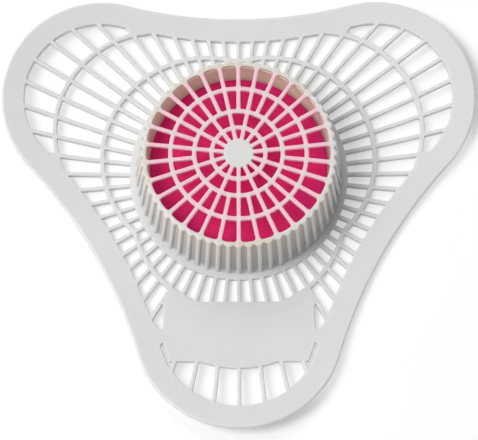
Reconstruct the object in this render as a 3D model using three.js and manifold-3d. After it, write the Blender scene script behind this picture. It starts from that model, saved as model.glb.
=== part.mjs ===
// Urinal deodorizer screen: a three-lobed lattice sheet and a ribbed cage moulded as one piece,
// with a round deodorizer block pressed into the cage from below.
// Millimetres, +Z up. The origin is on the cage axis, in the plane that the screen lies on.
import * as THREE from 'three';
import { mergeVertices } from 'three/addons/utils/BufferGeometryUtils.js';
import Module from 'manifold-3d';

const wasm = await Module();
wasm.setup();

// Outline of the sheet: three round lobes, joined by long shallow concave sides
const lobeReach = 103.4; // cage axis to a lobe's tip
const lobeRadius = 40.9;
const waistRadius = 200;
const rimWidth = 9.4; // plain band round the edge
const sheetThickness = 2.5;
const lobeLift = 6.6; // how far the lobe tips stand above the cage's foot

// Lattice of the sheet: radial ribs, a wavy ring all round and a short ring across each lobe
const innerSpokeCount = 15; // spokes at the middle of the grille
const ribWidth = 1.4;
const ringWidth = 1.6;
const waveRingReach = 56.4; // cage axis to the ring's crown in a lobe
const waveRingRadius = 44.2;
const lobeRingReach = 78.4;
const lobeRingRadius = 42.3;
const lobeRingSpan = 34; // degrees each side of the lobe's axis

// Bare rectangular plate across the front lobe
const plateWidth = 59.4;
const plateDepth = 24.4;
const plateDistance = 52.3; // cage axis to the plate's near edge

// Block
const blockRadius = 35;
const blockHeight = 17;
const blockEdgeRadius = 1.2;
const blockClearance = 0.3;

// Cage: an upright collar round the block, and a thin ribbed skirt that spreads away from it
const cageHeight = 30;
const collarGap = 0.8; // between the block's side and the collar
const collarThickness = 0.9;
const cageSpread = 3.6; // how much wider the skirt is at the foot
const skirtThickness = 0.9;
const leastCoring = 0.6; // width of the hollow between collar and skirt at its closed end
const cageRibHeight = 1.2;
const cageRibWidth = 1.9;
const cageRibCrown = 1.1; // width of a rib's outer face
const footWidth = 2; // flat ring outside the wall's foot
const gripCount = 6; // upright ribs inside the collar that hold the block
const gripWidth = 1.8;
const gripHeight = 15;

// Grille over the cage
const grilleThickness = 1.8;
const shoulderDrop = 0.8; // bevel round the grille's outer edge
const grilleRimWidth = 2.2;
const hubRadius = 5.8;
const firstRingRadius = 10.4;
const secondRingRadius = 17.1;
const thirdRingRadius = 26.3;
const spokeWidth = 1.5;
const grilleRingWidth = 1.6;
const openingEndRadius = 1.4; // rounded corners of the outermost openings, next to the rim

// Fineness of curves, and the least opening that is cut
const edgeSteps = 2; // straight pieces of the sheet's edge between two ribs
const roundSteps = 60;
const cornerSteps = 3;
const leastOpening = 1.2;

// Sizes that follow from the values above
const lobeCount = 3;
const sector = (2 * Math.PI) / lobeCount;
const frontAxis = -Math.PI / 2;
const outerSpokeCount = 2 * innerSpokeCount;
const ribCount = 2 * outerSpokeCount;
const lobeCentre = lobeReach - lobeRadius;
const waistHalfChord = lobeCentre * Math.sin(sector / 2);
const waistCentre = lobeCentre * Math.cos(sector / 2)
  + Math.sqrt((lobeRadius + waistRadius) ** 2 - waistHalfChord ** 2);
const collarInner = blockRadius + collarGap;
const collarOuter = collarInner + collarThickness;
const grooveTop = collarInner + skirtThickness;
const cageTopRadius = grooveTop + cageRibHeight;
const footRadius = cageTopRadius + cageSpread + footWidth;
const sheetSlope = lobeLift / (lobeReach - footRadius);
const plateFar = plateDistance + plateDepth;
const grilleOpening = cageTopRadius - grilleRimWidth;

// Angle from the nearest lobe's axis
function lobeAngle(angle) {
  const turned = angle - frontAxis;
  return turned - sector * Math.round(turned / sector);
}

// Whether a direction lies in the front lobe, which carries the plate
function inFrontLobe(angle) {
  return Math.cos(angle - frontAxis) > Math.cos(sector / 2);
}

// Distance along a ray at an angle to the far side of a circle centred on the ray's zero line
function farSide(centre, radius, angle) {
  return centre * Math.cos(angle) + Math.sqrt(radius ** 2 - (centre * Math.sin(angle)) ** 2);
}

// Distance from the axis to the sheet's edge, moved inwards by an inset
function edgeRadius(angle, inset) {
  const fromLobe = Math.abs(lobeAngle(angle));
  const fromWaist = sector / 2 - fromLobe;
  const tangent = (lobeRadius - inset) / (lobeRadius + waistRadius);
  const touchX = lobeCentre + tangent * (waistCentre * Math.cos(sector / 2) - lobeCentre);
  const touchY = tangent * waistCentre * Math.sin(sector / 2);
  if (fromLobe < Math.atan2(touchY, touchX)) return farSide(lobeCentre, lobeRadius - inset, fromLobe);
  const offset = waistCentre * Math.sin(fromWaist);
  return waistCentre * Math.cos(fromWaist) - Math.sqrt((waistRadius + inset) ** 2 - offset ** 2);
}

const rimInner = (angle) => edgeRadius(angle, rimWidth);
const waveRing = (angle) => farSide(waveRingReach - waveRingRadius, waveRingRadius, lobeAngle(angle));

function lobeRing(angle) {
  const away = lobeAngle(angle);
  if (Math.abs(away) > THREE.MathUtils.degToRad(lobeRingSpan)) return Infinity;
  return farSide(lobeRingReach - lobeRingRadius, lobeRingRadius, away);
}

// Where a ray enters the plate and where it leaves it
function crossesPlate(angle) {
  return inFrontLobe(angle) && Math.abs(Math.tan(lobeAngle(angle))) < plateWidth / 2 / plateDistance;
}

function plateEntry(angle) {
  return crossesPlate(angle) ? plateDistance / Math.cos(lobeAngle(angle)) : Infinity;
}

function plateExit(angle) {
  if (!crossesPlate(angle)) return 0;
  const away = lobeAngle(angle);
  return Math.min(plateWidth / 2 / Math.abs(Math.sin(away)), plateFar / Math.cos(away));
}

// Outline of the opening between two neighbouring bars of constant width, from an inner to an outer
// curve. Null where the curves leave too little between them.
function openingBetween(bar, count, width, inner, outer, steps) {
  const pitch = (2 * Math.PI) / count;
  const start = frontAxis + bar * pitch;
  const angleAt = (share, radius) => {
    const edge = Math.asin(width / 2 / radius);
    return start + edge + share * (pitch - 2 * edge);
  };
  const near = [];
  const far = [];
  for (let step = 0; step <= steps; step += 1) {
    const share = step / steps;
    const middle = start + share * pitch;
    const low = inner(angleAt(share, inner(middle)));
    const high = outer(angleAt(share, outer(middle)));
    if (high - low < leastOpening) continue;
    near.push(polar(low, angleAt(share, low)));
    far.unshift(polar(high, angleAt(share, high)));
  }
  if (near.length < 2) return null;
  return near.concat(far);
}

function polar(radius, angle) {
  return new THREE.Vector2(radius * Math.cos(angle), radius * Math.sin(angle));
}

// One opening outline for each gap in a ring of bars
function openingsRound(count, width, inner, outer, steps) {
  const bars = Array.from({ length: count }, (_, bar) => bar);
  const outlines = bars.map((bar) => openingBetween(bar, count, width, inner, outer, steps));
  return outlines.filter((points) => points !== null);
}

// Outline whose corners beyond a distance from the axis are rounded, as far as their sides allow
function roundedBeyond(points, distance, radius) {
  return points.flatMap((corner, i) => {
    const before = points[(i + points.length - 1) % points.length].clone().sub(corner);
    const after = points[(i + 1) % points.length].clone().sub(corner);
    const bend = Math.PI - before.angleTo(after);
    if (bend < Math.PI / 4 || corner.length() < distance) return [corner];
    const reach = Math.min(radius * Math.tan(bend / 2), before.length() / 2, after.length() / 2);
    const start = corner.clone().add(before.setLength(reach));
    const end = corner.clone().add(after.setLength(reach));
    return new THREE.QuadraticBezierCurve(start, corner, end).getPoints(cornerSteps);
  });
}

// Closed solid from a geometry, with its doubled vertices joined
function solidOf(geometry) {
  geometry.deleteAttribute('normal');
  geometry.deleteAttribute('uv');
  const merged = mergeVertices(geometry, 1e-4);
  return new wasm.Manifold(new wasm.Mesh({
    numProp: 3,
    vertProperties: new Float32Array(merged.attributes.position.array),
    triVerts: new Uint32Array(merged.index.array),
  }));
}

function geometryOf(solid) {
  const result = solid.getMesh();
  const geometry = new THREE.BufferGeometry();
  geometry.setAttribute('position', new THREE.BufferAttribute(result.vertProperties, 3));
  geometry.setIndex(new THREE.BufferAttribute(result.triVerts, 1));
  return geometry;
}

function extruded(shape, depth) {
  return new THREE.ExtrudeGeometry(shape, { depth, bevelEnabled: false });
}

// Moves each vertex of a geometry by a function of its radius and height
function reshaped(geometry, move) {
  const place = geometry.attributes.position;
  for (let i = 0; i < place.count; i += 1) {
    const x = place.getX(i);
    const y = place.getY(i);
    const radius = Math.hypot(x, y);
    const [newRadius, z] = move(radius, place.getZ(i));
    const scale = radius > 0 ? newRadius / radius : 1;
    place.setXYZ(i, x * scale, y * scale, z);
  }
  return geometry;
}

// Solid of revolution about Z, with its facets' edges in line with the ribs
function turned(profile, segments) {
  return solidOf(new THREE.LatheGeometry(profile, segments).rotateX(Math.PI / 2));
}

// Solid that cuts a set of outlines through a layer, running past both of its faces
function cutterOf(outlines, bottom, thickness) {
  const shapes = outlines.map((points) => new THREE.Shape(points));
  return solidOf(extruded(shapes, 3 * thickness).translate(0, 0, bottom - thickness));
}

// Sheet: a shallow dish, flat at the foot, trimmed to the lobed outline and cut with the lattice
// openings. The dish has one flat facet between each two ribs.
function sheetSolid() {
  const inner = grooveTop + cageSpread - skirtThickness / 2;
  const beyond = lobeReach + rimWidth;
  const rise = sheetSlope * (beyond - footRadius);
  const profile = [
    new THREE.Vector2(inner, 0),
    new THREE.Vector2(footRadius, 0),
    new THREE.Vector2(beyond, rise),
    new THREE.Vector2(beyond, rise + sheetThickness),
    new THREE.Vector2(footRadius, sheetThickness),
    new THREE.Vector2(inner, sheetThickness),
    new THREE.Vector2(inner, 0),
  ];
  const outline = Array.from({ length: edgeSteps * ribCount }, (_, i) => {
    const angle = frontAxis + (i / edgeSteps / ribCount) * 2 * Math.PI;
    return polar(edgeRadius(angle, 0), angle);
  });
  const foot = () => footRadius;
  const insideWave = (angle) => Math.min(waveRing(angle) - ringWidth / 2, plateEntry(angle));
  const outsideWave = (angle) => Math.max(waveRing(angle) + ringWidth / 2, plateExit(angle));
  const insideLobeRing = (angle) => Math.min(lobeRing(angle) - ringWidth / 2, rimInner(angle));
  const outsideLobeRing = (angle) => Math.max(lobeRing(angle) + ringWidth / 2, plateExit(angle));
  const openings = [
    ...openingsRound(ribCount, ribWidth, foot, insideWave, 1),
    ...openingsRound(ribCount, ribWidth, outsideWave, insideLobeRing, edgeSteps),
    ...openingsRound(ribCount, ribWidth, outsideLobeRing, rimInner, edgeSteps),
  ];
  const depth = rise + sheetThickness;
  const trimmed = turned(profile, ribCount).intersect(cutterOf([outline], 0, depth));
  return trimmed.subtract(cutterOf(openings, 0, depth));
}

// Cage wall: a ribbed cone, bored out to the collar's inside and hollowed between collar and skirt
function wallSolid() {
  const points = [];
  const baseHalf = cageRibWidth / 2 / grooveTop;
  const crownHalf = cageRibCrown / 2 / cageTopRadius;
  for (let rib = 0; rib < ribCount; rib += 1) {
    const angle = frontAxis + (rib / ribCount) * 2 * Math.PI;
    points.push(polar(grooveTop, angle - baseHalf));
    points.push(polar(cageTopRadius, angle - crownHalf));
    points.push(polar(cageTopRadius, angle + crownHalf));
    points.push(polar(grooveTop, angle + baseHalf));
  }
  const height = cageHeight - grilleThickness / 2;
  const cone = extruded(new THREE.Shape(points), height);
  const ribbed = solidOf(reshaped(cone, (radius, z) => [radius + spreadAt(z), z]));
  return ribbed.subtract(ringSolid(0, collarInner, collarInner, height)).subtract(coringSolid());
}

// The hollow between collar and skirt, open below and narrowing upwards
function coringSolid() {
  const skirtInner = grooveTop - skirtThickness;
  const closedAt = cageHeight * (1 - (collarOuter + leastCoring - skirtInner) / cageSpread);
  return ringSolid(collarOuter, skirtInner + cageSpread, collarOuter + leastCoring, closedAt);
}

// Ring between an inner radius and a straight outer side, from below the foot to a height
function ringSolid(inner, outerBelow, outerAbove, height) {
  const run = (outerBelow - outerAbove) / height;
  const profile = [
    new THREE.Vector2(inner, -height),
    new THREE.Vector2(outerBelow + run * height, -height),
    new THREE.Vector2(outerAbove, height),
    new THREE.Vector2(inner, height),
  ];
  if (inner > 0) profile.push(profile[0]);
  return turned(profile, ribCount);
}

// How much wider the skirt is at a height than at the grille
function spreadAt(z) {
  return cageSpread * (1 - z / cageHeight);
}

// Grille: a disc with a bevelled shoulder, cut through between its spokes and rings
function grilleSolid() {
  const low = cageHeight - grilleThickness;
  const profile = [
    new THREE.Vector2(0, low),
    new THREE.Vector2(cageTopRadius, low),
    new THREE.Vector2(cageTopRadius, cageHeight - shoulderDrop),
    new THREE.Vector2(cageTopRadius - shoulderDrop, cageHeight),
    new THREE.Vector2(0, cageHeight),
  ];
  const band = (count, inner, outer, steps) => (
    openingsRound(count, spokeWidth, () => inner, () => outer, steps)
  );
  const bar = grilleRingWidth / 2;
  const openings = [
    ...band(innerSpokeCount, hubRadius, firstRingRadius - bar, 1),
    ...band(innerSpokeCount, firstRingRadius + bar, secondRingRadius - bar, 2),
    ...band(outerSpokeCount, secondRingRadius + bar, thirdRingRadius - bar, 1),
    ...band(outerSpokeCount, thirdRingRadius + bar, grilleOpening, 2).map(
      (points) => roundedBeyond(points, (thirdRingRadius + grilleOpening) / 2, openingEndRadius)
    ),
  ];
  return turned(profile, 2 * roundSteps).subtract(cutterOf(openings, low, grilleThickness));
}

// Grips: upright ribs on the inside of the collar that touch the block's side
function gripSolids() {
  const grips = [];
  for (let grip = 0; grip < gripCount; grip += 1) {
    const inner = blockRadius + blockClearance;
    const outer = collarInner + collarThickness / 2;
    const bar = new THREE.BoxGeometry(outer - inner, gripWidth, gripHeight);
    bar.translate((inner + outer) / 2, 0, gripHeight / 2);
    grips.push(solidOf(bar.rotateZ(frontAxis + ((grip + 0.5) / gripCount) * 2 * Math.PI)));
  }
  return grips;
}

function meshOf(name, geometry, color, roughness) {
  const mesh = new THREE.Mesh(geometry, new THREE.MeshStandardMaterial({ color, roughness, metalness: 0 }));
  mesh.name = name;
  return mesh;
}

// The whole white moulding
function screenMesh() {
  let moulding = sheetSolid().add(wallSolid()).add(grilleSolid());
  for (const grip of gripSolids()) moulding = moulding.add(grip);
  return meshOf('screen', geometryOf(moulding), 0xdcdad8, 0.45);
}

// The pressed block: a flat disc with rounded edges, level with the cage's foot
function blockMesh() {
  const steps = Array.from({ length: cornerSteps + 1 }, (_, step) => step);
  const corner = (centreZ, from) => steps.map((step) => {
    const angle = from + (step / cornerSteps) * (Math.PI / 2);
    const radius = blockRadius - blockEdgeRadius + blockEdgeRadius * Math.cos(angle);
    return new THREE.Vector2(radius, centreZ + blockEdgeRadius * Math.sin(angle));
  });
  const profile = [
    new THREE.Vector2(0, 0),
    ...corner(blockEdgeRadius, -Math.PI / 2),
    ...corner(blockHeight - blockEdgeRadius, 0),
    new THREE.Vector2(0, blockHeight),
  ];
  const geometry = new THREE.LatheGeometry(profile, roundSteps).rotateX(Math.PI / 2);
  return meshOf('deodorizer_block', geometry, 0xc01850, 0.6);
}

const model = new THREE.Group();
model.add(screenMesh(), blockMesh());

export default model;
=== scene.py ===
"""A urinal deodorizer screen: one white moulding that holds a round magenta deodorizer block.

The moulding is a dished sheet of three lobes, cut into a lattice of ribs and rings. A ribbed round
cage stands in its middle, with a spoked grille on top and the block inside. A bare rectangular plate
crosses the front lobe. The origin is on the cage's axis, on the floor, and the front lobe points
along -Y.
"""

import math

import bmesh
import bpy
from bpy.props import FloatProperty, FloatVectorProperty, IntProperty, PointerProperty
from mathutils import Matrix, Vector, noise


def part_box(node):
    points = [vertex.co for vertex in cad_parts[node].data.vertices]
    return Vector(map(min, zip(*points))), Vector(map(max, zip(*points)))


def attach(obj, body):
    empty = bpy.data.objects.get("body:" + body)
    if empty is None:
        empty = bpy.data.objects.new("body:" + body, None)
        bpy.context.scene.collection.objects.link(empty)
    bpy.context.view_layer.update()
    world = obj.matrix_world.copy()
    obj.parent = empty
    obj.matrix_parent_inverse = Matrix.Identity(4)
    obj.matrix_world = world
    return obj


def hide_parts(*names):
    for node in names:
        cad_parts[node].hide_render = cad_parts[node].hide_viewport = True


bl_info = {
    "name": "Urinal Deodorizer Screen",
    "version": (1, 0, 0),
    "blender": (4, 5, 0),
    "location": "View3D > Sidebar > Deodorizer Screen",
    "description": "Builds a three-lobed urinal screen with its caged deodorizer block",
    "category": "Add Mesh",
}

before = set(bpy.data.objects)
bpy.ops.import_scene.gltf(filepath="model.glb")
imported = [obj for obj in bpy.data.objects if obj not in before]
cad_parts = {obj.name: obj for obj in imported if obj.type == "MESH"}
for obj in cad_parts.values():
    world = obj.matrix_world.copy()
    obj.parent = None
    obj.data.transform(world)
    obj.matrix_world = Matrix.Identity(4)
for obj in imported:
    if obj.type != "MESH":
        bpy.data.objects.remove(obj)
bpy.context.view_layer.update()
SCREEN_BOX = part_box("screen")
BLOCK_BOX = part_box("deodorizer_block")

MM = 0.001
LOBE_COUNT = 3
SECTOR = 2 * math.pi / LOBE_COUNT
FRONT = -math.pi / 2


def length(name, millimetres, description):
    """A size property, given in millimetres."""
    return FloatProperty(
        name=name,
        description=description,
        default=millimetres * MM,
        min=0.0,
        precision=4,
        subtype="DISTANCE",
        unit="LENGTH",
    )


def share(name, default, description):
    """A property from 0 to 1."""
    return FloatProperty(
        name=name, description=description, default=default, min=0.0, max=1.0, subtype="FACTOR"
    )


def colour(name, default, description):
    """A colour property, in linear light."""
    return FloatVectorProperty(
        name=name, description=description, default=default, min=0.0, max=1.0, subtype="COLOR"
    )


# Sizes and colours


class SheetSizes(bpy.types.PropertyGroup):
    """Sizes of the dished lattice sheet."""

    lobe_reach: length("Lobe reach", -SCREEN_BOX[0].y / MM, "Cage axis to a lobe's tip")
    lobe_radius: length("Lobe radius", 40.8, "Radius of a lobe's round end")
    waist_radius: length("Waist radius", 200, "Radius of the hollow side between two lobes")
    rim_width: length("Rim width", 9.1, "Plain band round the edge")
    waist_rim: length("Extra rim at a waist", 0.8, "How much wider the band is between two lobes")
    thickness: length("Thickness", 2.5, "Thickness of the sheet")
    lobe_lift: length("Lobe lift", 6.0, "Height of a lobe's tip above the foot")
    dish_curve: FloatProperty(
        name="Dish curve", description="Power of the sheet's rise, 1 for straight", default=1.7, min=1.0
    )
    foot_radius: length("Foot radius", 43.5, "Outer radius of the flat ring round the cage")
    rib_count: IntProperty(name="Ribs", description="Ribs round the axis", default=60, min=12)
    rib_width: length("Rib width", 1.65, "Width of a rib of the lattice")
    ring_width: length("Ring width", 1.95, "Width of the lattice's two rings")
    wave_ring_reach: length("Wavy ring reach", 56.4, "Cage axis to the wavy ring, in a lobe")
    wave_ring_radius: length("Wavy ring radius", 42.4, "Radius of the wavy ring, in a lobe")
    lobe_ring_reach: length("Lobe ring reach", 78.4, "Cage axis to the short ring across a lobe")
    lobe_ring_radius: length("Lobe ring radius", 42.3, "Radius of the short ring across a lobe")
    lobe_ring_span: FloatProperty(
        name="Lobe ring span",
        description="How far the short ring runs each side of its lobe's axis",
        default=math.radians(34),
        subtype="ANGLE",
    )
    plate_width: length("Plate width", 59.4, "Width of the bare plate")
    plate_depth: length("Plate depth", 24.4, "Depth of the bare plate")
    plate_distance: length("Plate distance", 52.3, "Cage axis to the plate's near edge")
    edge_rounding: length("Edge rounding", 0.5, "Radius of the edges of ribs and rings")
    rim_rounding: length("Rim rounding", 0.9, "Radius of the rim's outer edge")
    corner_rounding: length("Corner rounding", 0.5, "Radius of the corners of each opening")


class CageSizes(bpy.types.PropertyGroup):
    """Sizes of the ribbed cage and its grille."""

    height: length("Height", SCREEN_BOX[1].z / MM, "Floor to the grille's top")
    inner_radius: length("Inner radius", 35.8, "Inside of the upright collar")
    spread: length("Spread", 3.6, "How much wider the ribbed skirt is at the foot")
    collar: length("Collar", 0.9, "Thickness of the collar")
    skirt: length("Skirt", 1.1, "Thickness of the skirt between its ribs")
    coring: length("Hollow", 0.6, "Width of the hollow between collar and skirt at its closed end")
    rib_height: length("Rib height", 1.0, "How far a rib stands out of the skirt")
    rib_width: length("Rib width", 1.9, "Width of a rib at the skirt")
    rib_crown: length("Rib crown", 1.2, "Width of a rib's outer face")
    rib_flare: length("Rib flare", 2.4, "Height in which the ribs spread to meet under the grille")
    cove: length("Cove", 1.1, "Radius of the hollow between the wall and the foot ring")
    shoulder: length("Shoulder", 0.6, "Radius round the grille's outer edge")
    grip_count: IntProperty(
        name="Grips", description="Upright ribs inside the collar", default=6, min=3
    )
    grip_width: length("Grip width", 1.8, "Width of a grip")
    grip_height: length("Grip height", 15, "Height of a grip")
    grille_thickness: length("Grille thickness", 1.8, "Thickness of spokes and rings")
    grille_rim: length("Grille rim", 2.2, "Plain band round the grille's openings")
    hub_radius: length("Hub radius", 5.8, "Radius of the disc in the middle of the grille")
    first_ring: length("First ring", 10.4, "Radius of the innermost ring")
    second_ring: length("Second ring", 17.1, "Radius of the middle ring")
    third_ring: length("Third ring", 26.3, "Radius of the outermost ring")
    spoke_count: IntProperty(name="Spokes", description="Spokes at the hub", default=15, min=6)
    spoke_width: length("Spoke width", 1.6, "Width of a spoke")
    ring_width: length("Ring width", 1.7, "Width of the grille's rings")
    edge_rounding: length("Edge rounding", 0.4, "Radius of the edges of spokes and rings")
    end_rounding: length("End rounding", 1.4, "Radius of the outermost openings' corners at the rim")


class BlockSizes(bpy.types.PropertyGroup):
    """Sizes of the pressed deodorizer block."""

    radius: length("Radius", BLOCK_BOX[1].x / MM, "Radius of the block")
    height: length("Height", BLOCK_BOX[1].z / MM, "Height of the block")
    edge_rounding: length("Edge rounding", 1.4, "Radius of its top and bottom edges")
    unevenness: length("Unevenness", 0.12, "Depth of the hollows in its pressed faces")


class FinishColours(bpy.types.PropertyGroup):
    """Colours of the plastic and the block."""

    plastic: colour("Plastic", (0.71, 0.708, 0.705), "White plastic")
    stained: colour("Stained collar", (0.72, 0.7, 0.58), "Inside of the collar, round the block")
    # Painted light: a glow inside the collar that stands in for light coming through it.
    through: colour("Light through", (0.08, 0.12, 0.085), "Light that comes through the thin collar")
    # Painted shade: darker plastic in the grooves between the skirt's ribs.
    groove: colour("Groove", (0.5, 0.5, 0.49), "Plastic in the grooves between the skirt's ribs")
    # Painted shade with a warm stain at the grooves' upper ends.
    groove_top_stain_and_shade: colour("Groove, top", (0.6, 0.52, 0.44), "Stained plastic at the grooves' upper ends")
    # Painted light: pink light bounced from the block onto the thin bars over it.
    painted_pink_bounce: colour("Blushed plastic", (0.86, 0.56, 0.63), "Thin bars just over the block")
    rim_stain: colour("Stained rim", (0.66, 0.57, 0.44), "Patches on the grille's rim")
    block: colour("Block", (0.62, 0.008, 0.1), "Face of the block")
    # Darker streaks in the block, also used for painted shade towards its rim.
    block_streak_and_rim_shade: colour("Block, deep", (0.36, 0.006, 0.12), "Darker streaks in the block")
    block_pale: colour("Block, pale", (0.75, 0.03, 0.16), "Crystals and rubbed edges")
    # Painted light: an even glow that brightens the block where the cage shades it.
    painted_block_glow: colour("Glow of the block", (0.13, 0.002, 0.025), "Light scattered inside the block")


class StageSettings(bpy.types.PropertyGroup):
    """Light and floor."""

    key_power: FloatProperty(
        name="Key light", description="Power of the large soft lamp", default=66.0, subtype="POWER"
    )
    back_power: FloatProperty(
        name="Back light", description="Power of the soft lamp behind", default=16.0, subtype="POWER"
    )
    world_strength: FloatProperty(name="Sky", description="Strength of the even light", default=0.31)
    lift_near: share("Lift near the cage", 0.42, "Share of plain white in the floor there")
    lift_under: share("Lift under a lobe", 0.6, "Share of plain white in the floor there")
    lift_around: share("Lift around", 0.15, "Share of plain white in the floor elsewhere")


# Outline and lattice


def polar(radius, angle):
    return Vector((radius * math.cos(angle), radius * math.sin(angle)))


def lobe_angle(angle):
    """Angle from the nearest lobe's axis."""
    turned_by = angle - FRONT
    return turned_by - SECTOR * round(turned_by / SECTOR)


def in_front_lobe(angle):
    return math.cos(angle - FRONT) > math.cos(SECTOR / 2)


def far_side(centre, radius, angle):
    """Distance along a ray to the far side of a circle centred on the ray's zero line."""
    return centre * math.cos(angle) + math.sqrt(radius**2 - (centre * math.sin(angle)) ** 2)


def edge_distance(sizes, angle, inset=0.0):
    """Distance from the axis to the sheet's edge, moved inwards by an inset."""
    centre = sizes.lobe_reach - sizes.lobe_radius
    half_chord = centre * math.sin(SECTOR / 2)
    side = sizes.lobe_radius + sizes.waist_radius
    waist_centre = centre * math.cos(SECTOR / 2) + math.sqrt(side**2 - half_chord**2)
    from_lobe = abs(lobe_angle(angle))
    from_waist = SECTOR / 2 - from_lobe
    tangent = (sizes.lobe_radius - inset) / side
    touch_x = centre + tangent * (waist_centre * math.cos(SECTOR / 2) - centre)
    touch_y = tangent * waist_centre * math.sin(SECTOR / 2)
    if from_lobe < math.atan2(touch_y, touch_x):
        return far_side(centre, sizes.lobe_radius - inset, from_lobe)
    offset = waist_centre * math.sin(from_waist)
    hollow = math.sqrt((sizes.waist_radius + inset) ** 2 - offset**2)
    return waist_centre * math.cos(from_waist) - hollow


def wave_ring(sizes, angle):
    centre = sizes.wave_ring_reach - sizes.wave_ring_radius
    return far_side(centre, sizes.wave_ring_radius, lobe_angle(angle))


def lobe_ring(sizes, angle):
    away = lobe_angle(angle)
    if abs(away) > sizes.lobe_ring_span:
        return math.inf
    return far_side(sizes.lobe_ring_reach - sizes.lobe_ring_radius, sizes.lobe_ring_radius, away)


def crosses_plate(sizes, angle):
    half = sizes.plate_width / 2 / sizes.plate_distance
    return in_front_lobe(angle) and abs(math.tan(lobe_angle(angle))) < half


def plate_entry(sizes, angle):
    """Where a ray from the axis enters the plate."""
    if not crosses_plate(sizes, angle):
        return math.inf
    return sizes.plate_distance / math.cos(lobe_angle(angle))


def plate_exit(sizes, angle):
    """Where a ray from the axis leaves the plate."""
    if not crosses_plate(sizes, angle):
        return 0.0
    away = lobe_angle(angle)
    side = sizes.plate_width / 2 / max(abs(math.sin(away)), 1e-9)
    return min(side, (sizes.plate_distance + sizes.plate_depth) / math.cos(away))


def underside(sizes, radius):
    """Height of the sheet's underside at a distance from the axis."""
    part = max(0.0, radius - sizes.foot_radius) / (sizes.lobe_reach - sizes.foot_radius)
    return sizes.lobe_lift * part**sizes.dish_curve


def opening_outline(bar, count, width, inner, outer, steps):
    """Outline of the gap after one bar of a ring of bars, between two curves, or None if it is shut.

    It runs counterclockwise, so that the cutters made from it face outwards.
    """
    least = 0.9 * MM
    pitch = 2 * math.pi / count
    start = FRONT + bar * pitch

    def angle_at(part, radius):
        edge = math.asin(min(1.0, width / 2 / radius))
        return start + edge + part * (pitch - 2 * edge)

    near = []
    far = []
    for step in range(steps + 1):
        part = step / steps
        middle = start + part * pitch
        low = inner(angle_at(part, inner(middle)))
        high = outer(angle_at(part, outer(middle)))
        if high - low < least:
            continue
        far.append(polar(high, angle_at(part, high)))
        near.insert(0, polar(low, angle_at(part, low)))
    return far + near if len(near) > 1 else None


def rounded(outline, radius, far_radius=0.0, beyond=math.inf):
    """The outline with small arcs at its sharp corners, of another radius beyond a distance."""
    sharp = math.radians(25)
    steps = 3
    most_of_side = 0.46
    points = []
    for index, corner in enumerate(outline):
        before = outline[index - 1] - corner
        after = outline[(index + 1) % len(outline)] - corner
        turn = math.pi - before.angle(after)
        if turn < sharp:
            points.append(corner)
            continue
        wanted = far_radius if corner.length > beyond else radius
        reach = min(wanted * math.tan(turn / 2), most_of_side * min(before.length, after.length))
        first = corner + before.normalized() * reach
        last = corner + after.normalized() * reach
        for step in range(steps + 1):
            part = step / steps
            points.append(first.lerp(corner, part).lerp(corner.lerp(last, part), part))
    return points


def grown(outline, distance):
    """The outline with each point moved outwards, square to its two sides."""
    least_stretch = 0.6
    points = []
    for index, point in enumerate(outline):
        before = (point - outline[index - 1]).normalized()
        after = (outline[(index + 1) % len(outline)] - point).normalized()
        outward = Vector((before.y + after.y, -before.x - after.x)).normalized()
        stretch = max(least_stretch, outward.dot(Vector((before.y, -before.x))))
        points.append(point + outward * distance / stretch)
    return points


def area(outline):
    """Area inside an outline."""
    pairs = zip(outline, outline[1:] + outline[:1])
    return abs(sum(first.x * last.y - last.x * first.y for first, last in pairs)) / 2


def mean_width(outline):
    """Twice an outline's area over its length, which is small for a sliver."""
    around = sum((last - first).length for first, last in zip(outline, outline[1:] + outline[:1]))
    return 2 * area(outline) / around


# Meshes


def linked(name, bm):
    """A new object at the origin from a bmesh, which is used up."""
    mesh = bpy.data.meshes.new(name)
    bm.to_mesh(mesh)
    bm.free()
    made = bpy.data.objects.new(name, mesh)
    bpy.context.scene.collection.objects.link(made)
    return made


def lofted(bm, rings, closed):
    """Skins a row of closed rings of points. The row is closed on itself, or ended with two caps."""
    rows = [[bm.verts.new(point) for point in ring] for ring in rings]
    count = len(rows[0])
    last = len(rows) if closed else len(rows) - 1
    for row in range(last):
        low = rows[row]
        high = rows[(row + 1) % len(rows)]
        for side in range(count):
            onward = (side + 1) % count
            bm.faces.new((low[side], low[onward], high[onward], high[side]))
    if not closed:
        bm.faces.new(reversed(rows[0]))
        bm.faces.new(rows[-1])


def turned(name, profile, segments):
    """A body of revolution from (distance, height) points, with points on the axis as single poles."""
    bm = bmesh.new()
    rows = []
    for radius, height in profile:
        if radius == 0:
            rows.append([bm.verts.new((0, 0, height))] * segments)
            continue
        angles = [FRONT + step * 2 * math.pi / segments for step in range(segments)]
        rows.append([bm.verts.new((*polar(radius, angle), height)) for angle in angles])
    for row, low in enumerate(rows):
        high = rows[(row + 1) % len(rows)]
        for side in range(segments):
            onward = (side + 1) % segments
            corners = dict.fromkeys((low[side], low[onward], high[onward], high[side]))
            if len(corners) > 2:
                bm.faces.new(tuple(corners))
    bmesh.ops.recalc_face_normals(bm, faces=bm.faces)
    return linked(name, bm)


def arc(centre, radius, start, end, steps):
    """Points on an arc in a profile, with angles in degrees."""
    points = []
    for step in range(steps + 1):
        angle = math.radians(start + (end - start) * step / steps)
        points.append((centre[0] + radius * math.cos(angle), centre[1] + radius * math.sin(angle)))
    return points


def evaluated(piece):
    """Puts a piece's modifiers into its mesh and removes them."""
    graph = bpy.context.evaluated_depsgraph_get()
    mesh = bpy.data.meshes.new_from_object(piece.evaluated_get(graph))
    piece.modifiers.clear()
    piece.data = mesh
    return piece


def combined(piece, other, operation):
    """Joins another closed body to a piece, or cuts it out of the piece."""
    modifier = piece.modifiers.new(operation.title(), "BOOLEAN")
    modifier.solver = "MANIFOLD"
    modifier.operation = operation
    modifier.object = other
    evaluated(piece)
    bpy.data.objects.remove(other)
    return piece


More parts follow.
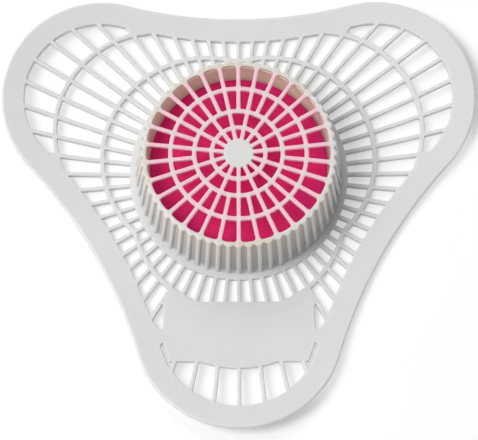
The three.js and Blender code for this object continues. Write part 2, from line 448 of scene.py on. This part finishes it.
def smoothed(piece, sharp_angle, broad=None):
    """Smooth shading that stops at sharp edges, and at all edges of the piece's broad faces."""
    crease = math.radians(14)
    sliver = 1e-11
    bm = bmesh.new()
    bm.from_mesh(piece.data)
    bmesh.ops.dissolve_degenerate(bm, dist=0.001 * MM, edges=bm.edges)
    bm.normal_update()
    flat = {face.index: broad(face) for face in bm.faces} if broad else {}
    for face in bm.faces:
        face.smooth = True
    for edge in bm.edges:
        if len(edge.link_faces) != 2 or min(face.calc_area() for face in edge.link_faces) < sliver:
            continue
        sides = [flat.get(face.index, False) for face in edge.link_faces]
        limit = crease if sides[0] != sides[1] else sharp_angle
        edge.smooth = edge.calc_face_angle(0.0) < limit
    bm.to_mesh(piece.data)
    bm.free()
    weighted = piece.modifiers.new("Weighted normals", "WEIGHTED_NORMAL")
    weighted.keep_sharp = True
    return evaluated(piece)


def on_broad_face(sizes, face):
    """Whether a face lies on the dish's upper or lower side, or level."""
    centre = face.calc_center_median()
    radius = centre.xy.length
    step = 0.1 * MM
    along_dish = 0.995
    level = 0.9995
    slope = (underside(sizes, radius + step) - underside(sizes, radius - step)) / (2 * step)
    dish = Vector((-slope * centre.x, -slope * centre.y, radius)).normalized()
    return abs(face.normal.dot(dish)) > along_dish or abs(face.normal.z) > level


def cutter_rings(outline, floor, top, rounding):
    """Rings of a cutter that leaves rounded edges where it meets the floor and the top of a plate."""
    steps = 3
    last = math.radians(72)
    over = 0.75 * rounding
    flare = []
    for step in range(steps + 1):
        angle = last * step / steps
        flare.append((rounding * (1 - math.cos(angle)), rounding * (math.sin(angle) - 1)))
    out, up = flare[-1]
    flare.append((out + (over - up) / math.tan(last), over))
    rings = []
    for distance, rise in reversed(flare):
        rings.append([(*p, floor(p.length) - rise) for p in grown(outline, distance)])
    for distance, rise in flare:
        rings.append([(*p, top(p.length) + rise) for p in grown(outline, distance)])
    return rings


# Repeats round the axis, as Geometry Nodes


def round_the_axis_tree():
    """Geometry Nodes that repeat a shape round the Z axis."""
    tree = bpy.data.node_groups.new("Round the axis", "GeometryNodeTree")
    inputs = {"Shape": "Geometry", "Count": "Int", "First angle": "Float", "Material": "Material"}
    for name, kind in inputs.items():
        tree.interface.new_socket(name, in_out="INPUT", socket_type="NodeSocket" + kind)
    tree.interface.new_socket("Shapes", in_out="OUTPUT", socket_type="NodeSocketGeometry")
    nodes, links = tree.nodes, tree.links
    source = nodes.new("NodeGroupInput")
    points = nodes.new("GeometryNodePoints")
    index = nodes.new("GeometryNodeInputIndex")
    pitch = nodes.new("ShaderNodeMath")
    pitch.operation = "DIVIDE"
    pitch.inputs[0].default_value = 2 * math.pi
    turn = nodes.new("ShaderNodeMath")
    turn.operation = "MULTIPLY_ADD"
    rotation = nodes.new("FunctionNodeAxisAngleToRotation")
    copies = nodes.new("GeometryNodeInstanceOnPoints")
    real = nodes.new("GeometryNodeRealizeInstances")
    finish = nodes.new("GeometryNodeSetMaterial")
    result = nodes.new("NodeGroupOutput")
    links.new(source.outputs["Count"], points.inputs["Count"])
    links.new(source.outputs["Count"], pitch.inputs[1])
    links.new(index.outputs["Index"], turn.inputs[0])
    links.new(pitch.outputs[0], turn.inputs[1])
    links.new(source.outputs["First angle"], turn.inputs[2])
    links.new(turn.outputs[0], rotation.inputs["Angle"])
    links.new(points.outputs[0], copies.inputs["Points"])
    links.new(source.outputs["Shape"], copies.inputs["Instance"])
    links.new(rotation.outputs[0], copies.inputs["Rotation"])
    links.new(copies.outputs[0], real.inputs[0])
    links.new(real.outputs[0], finish.inputs["Geometry"])
    links.new(source.outputs["Material"], finish.inputs["Material"])
    links.new(finish.outputs[0], result.inputs["Shapes"])
    return tree


def repeated(shape, count, finish, first_angle=0.0):
    """The shape repeated round the Z axis, as one plain mesh."""
    tree = bpy.data.node_groups.get("Round the axis") or round_the_axis_tree()
    modifier = shape.modifiers.new("Round the axis", "NODES")
    modifier.node_group = tree
    values = {"Count": count, "First angle": first_angle, "Material": finish}
    for item in tree.interface.items_tree:
        if item.name in values:
            modifier[item.identifier] = values[item.name]
    return evaluated(shape)


# Pieces of the moulding


def sheet_blank(sizes, cage):
    """The dished sheet with its rounded rim, before its openings are cut."""
    inside = skirt_radius(cage, 0) + cage.skirt / 2
    steps_between_ribs = 6
    dish_steps = 9
    bend = sizes.rim_rounding
    bm = bmesh.new()
    sections = []
    for step in range(sizes.rib_count * steps_between_ribs):
        angle = FRONT + step * 2 * math.pi / (sizes.rib_count * steps_between_ribs)
        edge = edge_distance(sizes, angle)
        run = edge - bend - sizes.foot_radius
        radii = [inside] + [sizes.foot_radius + run * part / dish_steps for part in range(dish_steps)]
        dish = [(radius, underside(sizes, radius)) for radius in radii]
        low = underside(sizes, edge - bend)
        high = low + sizes.thickness
        profile = list(dish)
        profile += arc((edge - bend, low + bend), bend, -90, 0, 4)
        profile += arc((edge - bend, high - bend), bend, 0, 90, 4)
        profile += [(radius, height + sizes.thickness) for radius, height in reversed(dish)]
        sections.append([(*polar(radius, angle), height) for radius, height in profile])
    lofted(bm, sections, closed=True)
    bmesh.ops.recalc_face_normals(bm, faces=bm.faces)
    return linked("sheet_blank", bm)


def lattice_outlines(sizes):
    """Outlines of all the sheet's openings: within the wavy ring, between the rings and beyond both."""
    half = sizes.ring_width / 2
    least_area = 3.5 * MM**2
    least_width = 0.9 * MM

    def rim(angle):
        waist = (1 - math.cos(LOBE_COUNT * lobe_angle(angle))) / 2
        return edge_distance(sizes, angle, sizes.rim_width + waist * sizes.waist_rim)

    zones = (
        (
            lambda angle: sizes.foot_radius,
            lambda angle: min(wave_ring(sizes, angle) - half, plate_entry(sizes, angle)),
        ),
        (
            lambda angle: max(wave_ring(sizes, angle) + half, plate_exit(sizes, angle)),
            lambda angle: min(lobe_ring(sizes, angle) - half, rim(angle)),
        ),
        (lambda angle: max(lobe_ring(sizes, angle) + half, plate_exit(sizes, angle)), rim),
    )
    outlines = []
    for inner, outer in zones:
        for bar in range(sizes.rib_count):
            outline = opening_outline(bar, sizes.rib_count, sizes.rib_width, inner, outer, 6)
            if outline and area(outline) > least_area and mean_width(outline) > least_width:
                outlines.append(rounded(outline, sizes.corner_rounding))
    return outlines


def lattice_cutters(sizes):
    """One closed cutter for each opening of the sheet."""
    bm = bmesh.new()
    for outline in lattice_outlines(sizes):
        rings = cutter_rings(
            outline,
            lambda radius: underside(sizes, radius),
            lambda radius: underside(sizes, radius) + sizes.thickness,
            sizes.edge_rounding,
        )
        lofted(bm, rings, closed=False)
    return linked("lattice_cutters", bm)


def skirt_radius(cage, height):
    """Radius of the skirt's inside at a height."""
    return cage.inner_radius + cage.spread * (1 - height / cage.height)


def groove_radius(cage, height):
    """Radius of the skirt's outside, between its ribs, at a height."""
    return skirt_radius(cage, height) + cage.skirt


def rib_side(cage, half_pitch, spread=0.0):
    """Angles from a rib's middle, each with the share of the rib's height that it stands there.

    The rib's foot spreads by a share of the way to the next rib's.
    """
    crown = cage.rib_crown / 2 / groove_radius(cage, cage.height)
    foot = cage.rib_width / 2 / groove_radius(cage, cage.height)
    fillet = 0.13 * half_pitch  # how far the rib's side runs out into the groove
    foot += spread * (half_pitch - fillet - foot)
    points = [(0.0, 1.0), (0.6 * crown, 1.0), (crown, 0.85), (foot, 0.12), (foot + fillet, 0.0)]
    return points + [(half_pitch, 0.0)]


def along(points, place):
    """Height at a place on straight lines through (place, height) points."""
    for (near, first), (far, last) in zip(points, points[1:]):
        if place < far:
            return first + (last - first) * (place - near) / (far - near)
    return points[-1][1]


def outer_radius(sheet, cage, stand, height):
    """Radius of the cage's outside at a height, where a rib stands out by a share of its height."""
    groove = groove_radius(cage, height)
    under = min(cage.cove, max(0.0, sheet.thickness + cage.cove - height))
    coved = groove + cage.cove - math.sqrt(cage.cove**2 - under**2)
    over = max(0.0, height - cage.height + cage.shoulder)
    bevel = cage.shoulder - math.sqrt(max(0.0, cage.shoulder**2 - over**2))
    return max(coved, groove + stand * cage.rib_height) - bevel


def hidden_profile(cage):
    """From the collar's foot, over the hollow between collar and skirt, to the skirt's foot."""
    collar_outside = cage.inner_radius + cage.collar
    closed_end = cage.coring / 2
    closed_at = cage.height * (1 - (cage.collar + cage.coring) / cage.spread) - closed_end
    profile = [(cage.inner_radius, 0.0), (collar_outside, 0.0)]
    profile += arc((collar_outside + closed_end, closed_at), closed_end, 180, 0, 4)
    return profile + [(skirt_radius(cage, 0), 0.0)]


def ceiling_profile(cage):
    """From the middle of the grille's top, through the axis, to the collar under the grille."""
    low = cage.height - cage.grille_thickness
    bend = cage.cove
    return [(0, cage.height), (0, low)] + arc((cage.inner_radius - bend, low - bend), bend, 90, 0, 4)


def wall_levels(sheet, cage):
    """Heights of the wall's rows: in its cove, where the ribs spread and round the grille's edge."""
    quarter = [math.radians(turn) for turn in (0, 22, 45, 68, 90)]
    cove_start = sheet.thickness - 0.05 * MM
    levels = [0.0]
    levels += [cove_start + cage.cove * (1 - math.cos(turn)) for turn in quarter]
    for part in (1.0, 0.75, 0.5, 0.3, 0.15):
        levels.append(cage.height - cage.shoulder - cage.rib_flare * part)
    levels += [cage.height - cage.shoulder * (1 - math.sin(turn)) for turn in quarter]
    return levels


def rib_turns(cage, half_pitch):
    """Angles across one pitch of the wall, with a rib in its middle."""
    turns = [angle for angle, _ in rib_side(cage, half_pitch)]
    turns.insert(3, (turns[2] + turns[3]) / 2)
    turns.insert(-1, (turns[-2] + turns[-1]) / 2)
    return [-turn for turn in turns[:0:-1]] + turns[:-1]


def cage_body(sheet, cage):
    """The cage's collar and ribbed skirt and the uncut disc of its grille."""
    hidden = hidden_profile(cage)
    ceiling = ceiling_profile(cage)
    levels = wall_levels(sheet, cage)
    flare_end = cage.height - cage.shoulder
    half_pitch = math.pi / sheet.rib_count
    sections = []
    for rib in range(sheet.rib_count):
        for turn in rib_turns(cage, half_pitch):
            outside = []
            for level in levels:
                spread = min(1.0, max(0.0, 1 - (flare_end - level) / cage.rib_flare))
                stand = along(rib_side(cage, half_pitch, spread**2), abs(turn))
                outside.append((outer_radius(sheet, cage, stand, level), level))
            angle = FRONT + 2 * rib * half_pitch + turn
            section = hidden + outside + ceiling
            sections.append([(*polar(radius, angle), height) for radius, height in section])
    bm = bmesh.new()
    lofted(bm, sections, closed=True)
    axis = [vertex for vertex in bm.verts if vertex.co.xy.length < 0.01 * MM]
    bmesh.ops.remove_doubles(bm, verts=axis, dist=0.01 * MM)
    bmesh.ops.recalc_face_normals(bm, faces=bm.faces)
    return linked("cage", bm)


def grip(cage, block_radius):
    """One upright grip inside the collar, that holds the block's side."""
    clearance = 0.3 * MM
    tip = 0.5 * MM
    rings = []
    for height, back in ((0.0, 0.0), (cage.grip_height - 2 * MM, 0.0), (cage.grip_height, 0.5)):
        outer = cage.inner_radius + cage.collar / 2
        inner = block_radius + clearance + back * (outer - block_radius - clearance)
        half = cage.grip_width / 2
        section = [(-half, outer), (-half, inner + tip), (-half + tip, inner)]
        section += [(half - tip, inner), (half, inner + tip), (half, outer)]
        rings.append([(x, -distance, height) for x, distance in section])
    bm = bmesh.new()
    lofted(bm, rings, closed=False)
    bmesh.ops.recalc_face_normals(bm, faces=bm.faces)
    return linked("grips", bm)


def grille_cutter(cage, count, inner, outer, steps, end_rounding):
    """The cutter of one opening in a band of the grille."""
    outline = opening_outline(0, count, cage.spoke_width, lambda a: inner, lambda a: outer, steps)
    rings = cutter_rings(
        rounded(outline, cage.edge_rounding, end_rounding, (inner + outer) / 2),
        lambda radius: cage.height - cage.grille_thickness,
        lambda radius: cage.height,
        cage.edge_rounding,
    )
    bm = bmesh.new()
    lofted(bm, rings, closed=False)
    return linked("grille_cutter", bm)


def grille_bands(cage):
    """Count, inner and outer radius, fineness and end rounding of the openings of each band."""
    half = cage.ring_width / 2
    soft = cage.edge_rounding
    opening = groove_radius(cage, cage.height) + cage.rib_height - cage.grille_rim
    return (
        (cage.spoke_count, cage.hub_radius, cage.first_ring - half, 3, soft),
        (cage.spoke_count, cage.first_ring + half, cage.second_ring - half, 5, soft),
        (2 * cage.spoke_count, cage.second_ring + half, cage.third_ring - half, 3, soft),
        (2 * cage.spoke_count, cage.third_ring + half, opening, 2, cage.end_rounding),
    )


# Finishes


def material(name):
    """An empty node material, its tree and its Principled shader."""
    made = bpy.data.materials.new(name)
    made.use_nodes = True
    return made, made.node_tree, made.node_tree.nodes["Principled BSDF"]


def shader_group(name, inputs, outputs):
    """A shader node group with float inputs and outputs, and its two end nodes."""
    tree = bpy.data.node_groups.new(name, "ShaderNodeTree")
    for name, default in inputs:
        socket = tree.interface.new_socket(name, in_out="INPUT", socket_type="NodeSocketFloat")
        socket.default_value = default
    for name in outputs:
        tree.interface.new_socket(name, in_out="OUTPUT", socket_type="NodeSocketFloat")
    return tree, tree.nodes.new("NodeGroupInput"), tree.nodes.new("NodeGroupOutput")


def arithmetic(tree, operation, *values):
    """A Math node fed with sockets or numbers, and its output."""
    node = tree.nodes.new("ShaderNodeMath")
    node.operation = operation
    for socket, value in zip(node.inputs, values):
        if isinstance(value, (int, float)):
            socket.default_value = value
        else:
            tree.links.new(value, socket)
    return node.outputs[0]


def ramped(tree, value, low, high, start=0.0, end=1.0):
    """The value mapped smoothly from low..high to start..end."""
    node = tree.nodes.new("ShaderNodeMapRange")
    node.interpolation_type = "SMOOTHSTEP"
    tree.links.new(value, node.inputs["Value"])
    for name, setting in (("From Min", low), ("From Max", high), ("To Min", start), ("To Max", end)):
        if isinstance(setting, (int, float)):
            node.inputs[name].default_value = setting
        else:
            tree.links.new(setting, node.inputs[name])
    return node.outputs["Result"]


def blended(tree, mask, first, second):
    """A colour mixed from two colours or sockets by a mask."""
    node = tree.nodes.new("ShaderNodeMix")
    node.data_type = "RGBA"
    tree.links.new(mask, node.inputs[0])
    for socket, value in ((node.inputs[6], first), (node.inputs[7], second)):
        if isinstance(value, bpy.types.NodeSocket):
            tree.links.new(value, socket)
        else:
            socket.default_value = (*value, 1.0)
    return node.outputs[2]


def product(tree, first, *others):
    """Product of masks."""
    for mask in others:
        first = arithmetic(tree, "MULTIPLY", first, mask)
    return first


def seen_by(tree, first, *others):
    """1 for the kinds of ray that are named, and 0 for all others."""
    paths = tree.nodes.new("ShaderNodeLightPath")
    seen = paths.outputs[first]
    for kind in others:
        seen = arithmetic(tree, "MAXIMUM", seen, paths.outputs[kind])
    return seen


def grained(tree, shader, grain, strength, depth):
    """Bump from a fine grain."""
    bump = tree.nodes.new("ShaderNodeBump")
    bump.inputs["Strength"].default_value = strength
    bump.inputs["Distance"].default_value = depth
    tree.links.new(grain, bump.inputs["Height"])
    tree.links.new(bump.outputs["Normal"], shader.inputs["Normal"])


def mottle_group():
    """Cloudy patches and a fine grain, from noise at two sizes."""
    tree, source, result = shader_group(
        "Mottle", (("Patches", 60.0), ("Grain", 1500.0), ("Contrast", 0.5)), ("Patch", "Grain")
    )
    place = tree.nodes.new("ShaderNodeTexCoord")
    half = arithmetic(tree, "MULTIPLY", source.outputs["Contrast"], 0.5)
    for size, output, detail in (("Patches", "Patch", 4.0), ("Grain", "Grain", 2.0)):
        texture = tree.nodes.new("ShaderNodeTexNoise")
        texture.inputs["Detail"].default_value = detail
        tree.links.new(place.outputs["Object"], texture.inputs["Vector"])
        tree.links.new(source.outputs[size], texture.inputs["Scale"])
        low = arithmetic(tree, "SUBTRACT", 0.5, half)
        high = arithmetic(tree, "ADD", 0.5, half)
        tree.links.new(ramped(tree, texture.outputs["Fac"], low, high), result.inputs[output])
    return tree


def place_group():
    """Distance from the axis, height, and angle round the axis, of the point that is shaded."""
    tree, _, result = shader_group("Place", (), ("Radius", "Height", "Angle"))
    place = tree.nodes.new("ShaderNodeTexCoord")
    split = tree.nodes.new("ShaderNodeSeparateXYZ")
    tree.links.new(place.outputs["Object"], split.inputs[0])
    square = arithmetic(tree, "MULTIPLY", split.outputs["X"], split.outputs["X"])
    both = arithmetic(tree, "MULTIPLY_ADD", split.outputs["Y"], split.outputs["Y"], square)
    tree.links.new(arithmetic(tree, "SQRT", both), result.inputs["Radius"])
    tree.links.new(split.outputs["Z"], result.inputs["Height"])
    angle = arithmetic(tree, "ARCTAN2", split.outputs["Y"], split.outputs["X"])
    tree.links.new(angle, result.inputs["Angle"])
    return tree


def group_node(tree, builder, name, **values):
    """A node that holds a shared shader group, with its own values."""
    node = tree.nodes.new("ShaderNodeGroup")
    node.node_tree = bpy.data.node_groups.get(name) or builder()
    for socket, value in values.items():
        node.inputs[socket].default_value = value
    return node


def crossings(tree, cage, radius, angle):
    """Mask of the places where the grille's rings and spokes cross."""
    ring = None
    for middle in (cage.first_ring, cage.second_ring, cage.third_ring):
        away = arithmetic(tree, "ABSOLUTE", arithmetic(tree, "SUBTRACT", radius, middle))
        ring = away if ring is None else arithmetic(tree, "MINIMUM", ring, away)
    turned_by = arithmetic(tree, "SUBTRACT", angle, FRONT)
    between = (cage.first_ring + cage.second_ring) / 2
    beyond = arithmetic(tree, "GREATER_THAN", radius, between)
    half_pitch = math.pi / cage.spoke_count
    pitch = arithmetic(tree, "MULTIPLY_ADD", beyond, -half_pitch / 2, half_pitch)
    spoke = arithmetic(tree, "MULTIPLY", radius, arithmetic(tree, "PINGPONG", turned_by, pitch))
    near = [ramped(tree, away, cage.ring_width, 0.4 * cage.ring_width) for away in (ring, spoke)]
    return arithmetic(tree, "MULTIPLY", *near)


def collar_mask(tree, cage, radius, height, patch):
    """Inside of the collar, in patches."""
    return product(
        tree,
        ramped(tree, radius, cage.inner_radius - 1.5 * MM, cage.inner_radius - 0.2 * MM),
        ramped(tree, radius, cage.inner_radius + 0.6 * MM, cage.inner_radius + 0.2 * MM),
        ramped(tree, height, cage.height, cage.height - 2 * MM),
        ramped(tree, patch, 0.0, 1.0, 0.7, 1.0),
    )


def groove_shade_mask(tree, cage, radius, height):
    """Grooves between the skirt's ribs, where shade is painted darker, fading at its foot and at the
    grille's edge.
    """
    skirt = cage.inner_radius + cage.skirt
    upright = arithmetic(tree, "MULTIPLY_ADD", height, cage.spread / cage.height, radius)
    stand = arithmetic(tree, "SUBTRACT", upright, skirt + cage.spread)
    return product(
        tree,
        ramped(tree, stand, 0.1 * cage.rib_height, 0.8 * cage.rib_height, 1.0, 0.0),
        ramped(tree, radius, skirt - 1.2 * MM, skirt - 0.2 * MM),
        ramped(tree, height, 0.1 * cage.height, 0.2 * cage.height),
        ramped(tree, height, cage.height - 0.5 * MM, cage.height - 2 * MM),
    )


def pink_bounce_mask(tree, cage, radius, height, angle):
    """Thin bars over the block, where pink light bounced from the block is painted, and less of them
    where they cross.
    """
    return product(
        tree,
        ramped(tree, radius, cage.inner_radius + 0.5 * MM, cage.inner_radius - 2 * MM),
        ramped(tree, radius, cage.hub_radius - 0.6 * MM, cage.hub_radius + 1.5 * MM),
        ramped(tree, crossings(tree, cage, radius, angle), 0.0, 1.0, 1.0, 0.3),
        ramped(tree, height, 0.5 * cage.height, 0.8 * cage.height),
    )


def rim_mask(tree, cage, radius, height, patch):
    """Grille's plain rim, in patches."""
    return product(
        tree,
        ramped(tree, radius, cage.inner_radius - 1.2 * MM, cage.inner_radius + 0.4 * MM),
        ramped(tree, height, cage.height - 2 * MM, cage.height - 0.8 * MM),
        ramped(tree, patch, 0.2, 1.0, 0.05, 0.6),
    )


def white_plastic(colours, cage):
    """Soft white moulded plastic, stained tan round the block, with painted pink bounce light on the
    bars over it, painted shade in the skirt's grooves and a painted glow inside the collar.
    """
    made, tree, shader = material("white_plastic")
    place = group_node(tree, place_group, "Place")
    mottle = group_node(tree, mottle_group, "Mottle", Patches=45.0, Grain=2600.0, Contrast=0.5)
    radius, height, angle = (place.outputs[name] for name in ("Radius", "Height", "Angle"))
    patch = mottle.outputs["Patch"]
    inside = collar_mask(tree, cage, radius, height, patch)
    warmth = ramped(tree, height, 0.2 * cage.height, 0.85 * cage.height)
    cloudiness = 0.25
    cloudy = [0.94 * part for part in colours.plastic]
    layers = (
        (arithmetic(tree, "MULTIPLY", patch, cloudiness), cloudy),
        # Painted pink bounce light on the thin bars over the block.
        (pink_bounce_mask(tree, cage, radius, height, angle), colours.painted_pink_bounce),
        (rim_mask(tree, cage, radius, height, patch), colours.rim_stain),
        # Painted shade in the grooves, with a warm stain towards their tops.
        (
            groove_shade_mask(tree, cage, radius, height),
            blended(tree, warmth, colours.groove, colours.groove_top_stain_and_shade),
        ),
        (inside, colours.stained),
    )
    base = colours.plastic
    for mask, layer in layers:
        base = blended(tree, mask, base, layer)
    tree.links.new(base, shader.inputs["Base Color"])
    tree.links.new(ramped(tree, patch, 0.0, 1.0, 0.42, 0.5), shader.inputs["Roughness"])
    # Painted glow inside the collar, for the light that comes through the thin plastic.
    glow = blended(tree, inside, (0.0, 0.0, 0.0), colours.through)
    tree.links.new(glow, shader.inputs["Emission Color"])
    shader.inputs["Emission Strength"].default_value = 1.0
    shader.inputs["Subsurface Weight"].default_value = 1.0
    shader.inputs["Subsurface Radius"].default_value = (1.0, 0.95, 0.9)
    shader.inputs["Subsurface Scale"].default_value = 1.5 * MM
    shader.inputs["Specular IOR Level"].default_value = 0.4
    grained(tree, shader, mottle.outputs["Grain"], 0.15, 0.05 * MM)
    return made


def pressed_block(colours, sizes):
    """Waxy pressed crystals: magenta with darker streaks, painted shade towards the rim and a painted
    glow.
    """
    made, tree, shader = material("pressed_block")
    place = group_node(tree, place_group, "Place")
    mottle = group_node(tree, mottle_group, "Mottle", Patches=70.0, Grain=900.0, Contrast=0.35)
    patch, grain = mottle.outputs["Patch"], mottle.outputs["Grain"]
    # Painted shade: the block is darker towards its rim, next to the collar.
    outer = ramped(tree, place.outputs["Radius"], 0.8 * sizes.radius, sizes.radius, 0.0, 0.5)
    layers = (
        (arithmetic(tree, "MULTIPLY", patch, 0.55), colours.block_streak_and_rim_shade),
        (arithmetic(tree, "MULTIPLY", grain, 0.25), colours.block_pale),
        (outer, colours.block_streak_and_rim_shade),
    )
    base = colours.block
    for mask, layer in layers:
        base = blended(tree, mask, base, layer)
    tree.links.new(base, shader.inputs["Base Color"])
    tree.links.new(ramped(tree, patch, 0.0, 1.0, 0.5, 0.65), shader.inputs["Roughness"])
    # Painted glow that brightens the block inside the shaded cage.
    shader.inputs["Emission Color"].default_value = (*colours.painted_block_glow, 1.0)
    shader.inputs["Emission Strength"].default_value = 1.0
    shader.inputs["Specular IOR Level"].default_value = 0.2
    grained(tree, shader, grain, 0.4, 0.15 * MM)
    return made


def floor_finish(settings, reach):
    """White floor that keeps a soft shadow, lifted by a share of plain white round the object."""
    made, tree, shader = material("floor")
    shader.inputs["Base Color"].default_value = (0.98, 0.98, 0.98, 1.0)
    shader.inputs["Roughness"].default_value = 1.0
    shader.inputs["Specular IOR Level"].default_value = 0.0
    radius = group_node(tree, place_group, "Place").outputs["Radius"]
    under = ramped(tree, radius, 0.4 * reach, 0.75 * reach, settings.lift_near, settings.lift_under)
    lift = ramped(tree, radius, 0.88 * reach, reach, under, settings.lift_around)
    seen = seen_by(tree, "Is Camera Ray", "Is Glossy Ray", "Is Transmission Ray")
    glow = tree.nodes.new("ShaderNodeEmission")
    mix = tree.nodes.new("ShaderNodeMixShader")
    tree.links.new(arithmetic(tree, "MULTIPLY", seen, lift), mix.inputs[0])
    tree.links.new(shader.outputs[0], mix.inputs[1])
    tree.links.new(glow.outputs[0], mix.inputs[2])
    tree.links.new(mix.outputs[0], tree.nodes["Material Output"].inputs["Surface"])
    return made


# Operators


class MESH_OT_deodorizer_moulding(bpy.types.Operator):
    """Build the white moulding: sheet, lattice, cage, grille and grips in one body"""

    bl_idname = "mesh.deodorizer_moulding"
    bl_label = "White moulding"

    def execute(self, context):
        scene = context.scene
        sheet, cage = scene.deodorizer_sheet, scene.deodorizer_cage
        finish = white_plastic(scene.deodorizer_finish, cage)
        body = cage_body(sheet, cage)
        grip_turn = math.pi / cage.grip_count
        grips = repeated(grip(cage, scene.deodorizer_block.radius), cage.grip_count, finish, grip_turn)
        combined(body, grips, "UNION")
        for count, *shape in grille_bands(cage):
            cutter = grille_cutter(cage, count, *shape)
            combined(body, repeated(cutter, count, finish), "DIFFERENCE")
        moulding = combined(sheet_blank(sheet, cage), lattice_cutters(sheet), "DIFFERENCE")
        combined(moulding, body, "UNION")
        moulding.name = "screen_moulding"
        moulding.data.materials.clear()
        moulding.data.materials.append(finish)
        smoothed(moulding, math.radians(32), lambda face: on_broad_face(sheet, face))
        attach(moulding, "root")
        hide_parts("screen")
        return {"FINISHED"}


class MESH_OT_deodorizer_block(bpy.types.Operator):
    """Build the pressed deodorizer block"""

    bl_idname = "mesh.deodorizer_block"
    bl_label = "Deodorizer block"

    def execute(self, context):
        sizes = context.scene.deodorizer_block
        bend = sizes.edge_rounding
        rim = sizes.radius - bend
        rows = 24
        dents_per_metre = 160.0
        across = [rim * step / rows for step in range(1, rows)]
        profile = [(0, 0.0)] + [(radius, 0.0) for radius in across]
        profile += arc((rim, bend), bend, -90, 0, 5)
        profile += arc((rim, sizes.height - bend), bend, 0, 90, 5)
        profile += [(radius, sizes.height) for radius in reversed(across)] + [(0, sizes.height)]
        block = turned("pressed_block", profile, 180)
        for vertex in block.data.vertices:
            dent = 0.5 + 0.5 * noise.noise(vertex.co * dents_per_metre)
            inwards = Vector((0, 0, sizes.height / 2)) - vertex.co
            if vertex.co.z > 0:
                vertex.co += inwards.normalized() * dent * sizes.unevenness
        block.data.materials.append(pressed_block(context.scene.deodorizer_finish, sizes))
        smoothed(block, math.radians(60))
        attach(block, "root")
        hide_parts("deodorizer_block")
        return {"FINISHED"}


class SCENE_OT_deodorizer_stage(bpy.types.Operator):
    """Add the white floor, the soft lamps and the camera"""

    bl_idname = "scene.deodorizer_stage"
    bl_label = "Stage"

    def execute(self, context):
        settings = context.scene.deodorizer_stage
        bm = bmesh.new()
        bmesh.ops.create_grid(bm, x_segments=1, y_segments=1, size=3.0)
        bmesh.ops.translate(bm, verts=bm.verts, vec=(0, 0, -0.05 * MM))
        floor = linked("floor", bm)
        floor.data.materials.append(floor_finish(settings, context.scene.deodorizer_sheet.lobe_reach))
        soft_lamp(context.scene, "key", azimuth=188, elevation=59, size=1.4, power=settings.key_power)
        soft_lamp(context.scene, "back", azimuth=100, elevation=52, size=1.2, power=settings.back_power)
        even_light(context.scene, settings.world_strength)
        camera(context.scene)
        context.scene.view_settings.view_transform = "Standard"
        return {"FINISHED"}


def soft_lamp(scene, name, azimuth, elevation, size, power):
    """A square lamp three metres away that faces the origin. Its direction is in degrees."""
    distance = 3.0
    level = distance * math.cos(math.radians(elevation))
    place = (*polar(level, math.radians(azimuth)), distance * math.sin(math.radians(elevation)))
    lamp = bpy.data.lights.new(name, "AREA")
    lamp.size = size
    lamp.energy = power
    made = bpy.data.objects.new(name, lamp)
    made.location = place
    made.rotation_euler = (-Vector(place)).to_track_quat("-Z", "Y").to_euler()
    scene.collection.objects.link(made)


def even_light(scene, strength):
    """A white world that lights evenly, and that the camera sees as plain white."""
    world = bpy.data.worlds.new("even_white")
    world.use_nodes = True
    tree = world.node_tree
    background = tree.nodes["Background"]
    background.inputs["Color"].default_value = (1, 1, 1, 1)
    seen = seen_by(tree, "Is Camera Ray", "Is Transmission Ray")
    shown = arithmetic(tree, "MULTIPLY_ADD", seen, 1 - strength, strength)
    tree.links.new(shown, background.inputs["Strength"])
    scene.world = world


def camera(scene):
    """The camera: over the front lobe, with a long lens."""
    elevation = math.radians(72.73)
    distance = 0.79465
    focal_pixels = 1987.7
    image_width, image_height = 478, 440
    sensor = 36.0
    axis_x, axis_y = 238.3, 175.8  # where the cage's axis meets the floor, in the image
    roll = math.radians(-0.15)
    data = bpy.data.cameras.new("camera")
    data.sensor_width = sensor
    data.lens = focal_pixels * sensor / image_width
    data.clip_start = 0.05
    made = bpy.data.objects.new("camera", data)
    away = Vector((0, -math.cos(elevation), math.sin(elevation)))
    made.location = away * distance
    tilt = math.atan((image_height / 2 - axis_y) / focal_pixels)
    turn = math.atan((axis_x - image_width / 2) / focal_pixels)
    made.rotation_euler = (math.pi / 2 - elevation - tilt, 0, turn)
    made.rotation_euler.rotate_axis("Z", roll)
    scene.collection.objects.link(made)
    scene.camera = made


class VIEW3D_PT_deodorizer_screen(bpy.types.Panel):
    """Lists the pieces and their sizes in the sidebar."""

    bl_idname = "VIEW3D_PT_deodorizer_screen"
    bl_label = "Deodorizer Screen"
    bl_space_type = "VIEW_3D"
    bl_region_type = "UI"
    bl_category = "Deodorizer Screen"

    def draw(self, context):
        for operator in OPERATORS:
            self.layout.operator(operator.bl_idname)
        for name in GROUPS:
            group = getattr(context.scene, name)
            box = self.layout.box()
            for field in group.__annotations__:
                box.prop(group, field)


OPERATORS = (MESH_OT_deodorizer_moulding, MESH_OT_deodorizer_block, SCENE_OT_deodorizer_stage)
GROUPS = {
    "deodorizer_sheet": SheetSizes,
    "deodorizer_cage": CageSizes,
    "deodorizer_block": BlockSizes,
    "deodorizer_finish": FinishColours,
    "deodorizer_stage": StageSettings,
}


def register():
    for group in GROUPS.values():
        bpy.utils.register_class(group)
    for name, group in GROUPS.items():
        setattr(bpy.types.Scene, name, PointerProperty(type=group))
    for operator in OPERATORS:
        bpy.utils.register_class(operator)
    bpy.utils.register_class(VIEW3D_PT_deodorizer_screen)


def unregister():
    bpy.utils.unregister_class(VIEW3D_PT_deodorizer_screen)
    for operator in reversed(OPERATORS):
        bpy.utils.unregister_class(operator)
    for name, group in reversed(GROUPS.items()):
        delattr(bpy.types.Scene, name)
        bpy.utils.unregister_class(group)


def main():
    register()
    bpy.ops.mesh.deodorizer_moulding()
    bpy.ops.mesh.deodorizer_block()
    bpy.ops.scene.deodorizer_stage()


if __name__ == "__main__":
    main()
